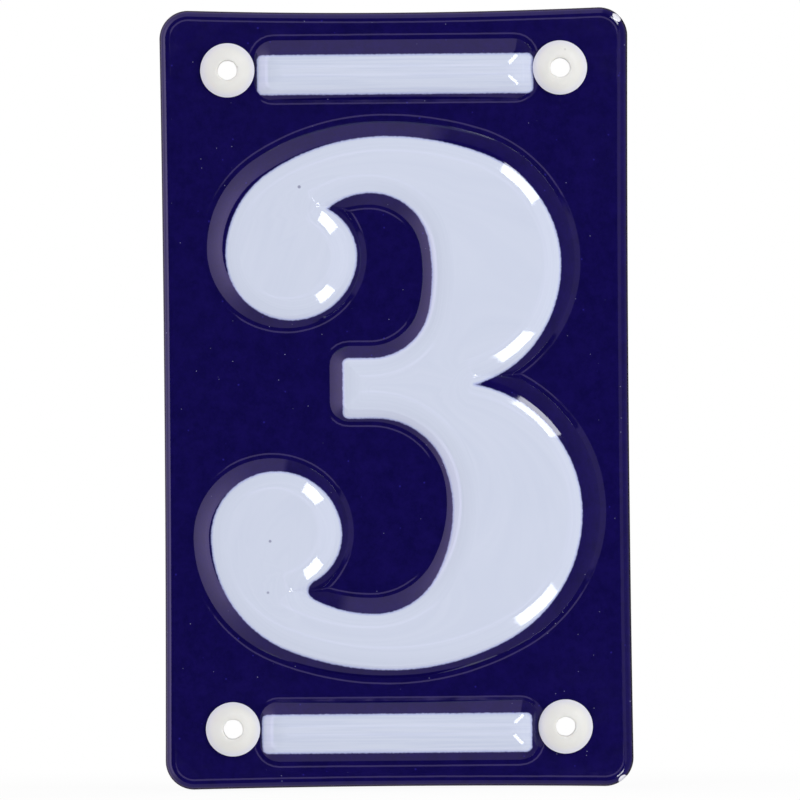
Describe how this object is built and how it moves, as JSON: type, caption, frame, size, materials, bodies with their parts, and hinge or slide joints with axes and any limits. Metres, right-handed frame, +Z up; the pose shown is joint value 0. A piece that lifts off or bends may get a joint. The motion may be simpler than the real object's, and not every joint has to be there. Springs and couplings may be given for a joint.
{
  "type": "house number plaque",
  "caption": "Upright enamelled steel plaque with a pressed numeral between raised bars, a turned-back rim and domed screw bushes at its corners, for fixing to a wall.",
  "frame": {"origin": "centre of the screw pattern, in the wall plane that the rim stands on", "axes": "+X right seen from the front, +Z up as hung, +Y into the wall, so the numeral faces -Y"},
  "size_m": [0.0898, 0.0066, 0.1496],
  "materials": {
    "enamelled_steel": "glossy vitreous enamel, dark blue with white numeral and bars",
    "nylon": "satin off-white nylon"
  },
  "bodies": {
    "root": {"plate": "enamelled_steel", "screw_bush_top_left": "nylon", "screw_bush_top_right": "nylon", "screw_bush_bottom_left": "nylon", "screw_bush_bottom_right": "nylon"}
  },
  "joints": []
}
